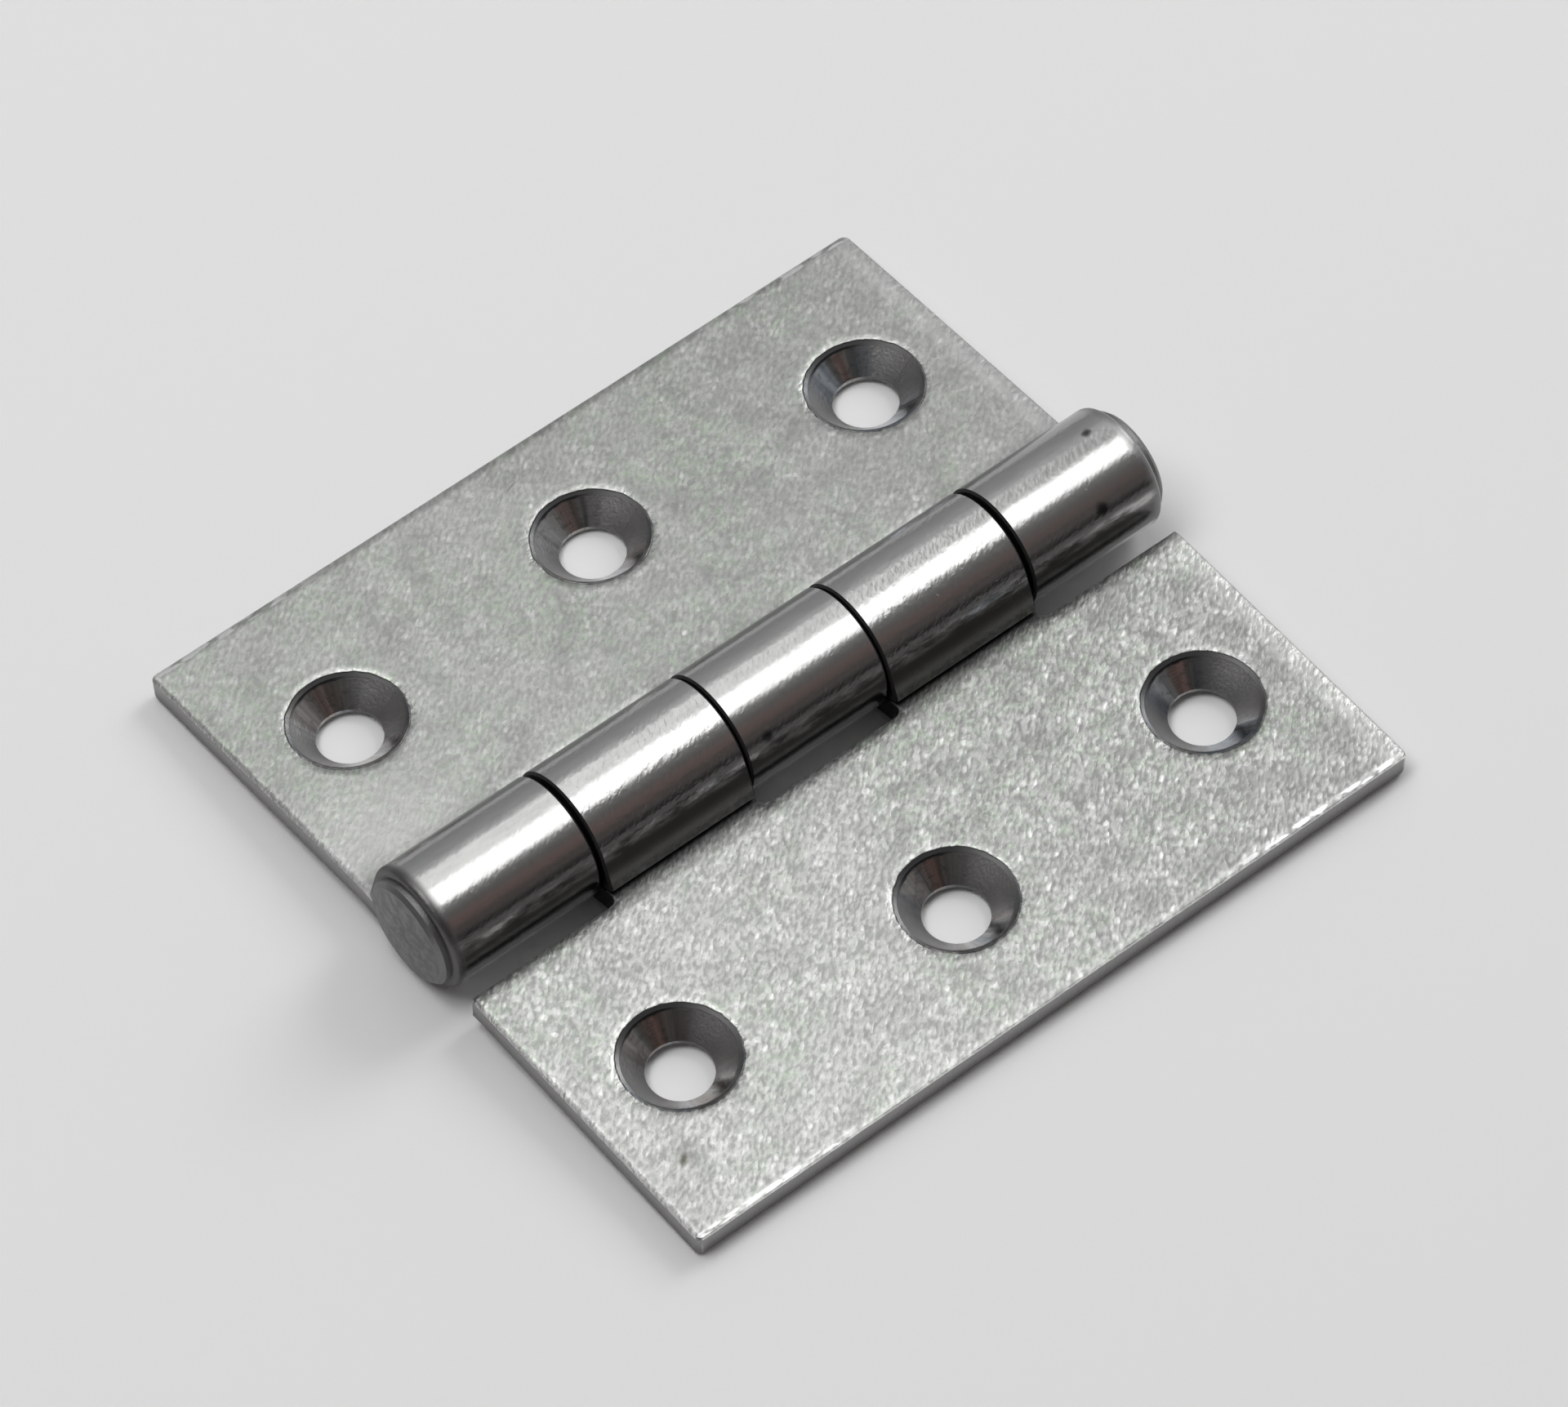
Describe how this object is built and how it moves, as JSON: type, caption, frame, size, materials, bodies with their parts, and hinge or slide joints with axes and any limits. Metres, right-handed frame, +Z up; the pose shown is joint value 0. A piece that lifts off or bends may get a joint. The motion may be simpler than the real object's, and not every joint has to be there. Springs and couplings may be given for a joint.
{
  "type": "butt hinge",
  "caption": "Square pressed steel butt hinge, shown open flat: two plates with countersunk screw holes, rolled knuckles and a riveted fixed pin.",
  "frame": {"origin": "on the surface that the open hinge lies on, under the middle of the pin", "axes": "+X along the pin from the near end to the far end, +Y from the pin to the frame leaf, +Z up, out of the countersunk faces"},
  "size_m": [0.0776, 0.0738, 0.0114],
  "materials": {
    "leaf_steel": "bright zinc plating over pressed steel, satin with a fine grain",
    "pin_steel": "zinc plated steel, riveted heads a little rough"
  },
  "bodies": {
    "frame_side": {"frame_leaf": "leaf_steel", "hinge_pin": "pin_steel"},
    "door_side": {"door_leaf": "leaf_steel"}
  },
  "joints": [
    {"name": "leaf_swing", "type": "hinge", "parent": "frame_side", "child": "door_side", "pos_m": [0, 0, 0.00573], "axis": [-1, 0, 0], "range_deg": [-113, 189.5]}
  ]
}
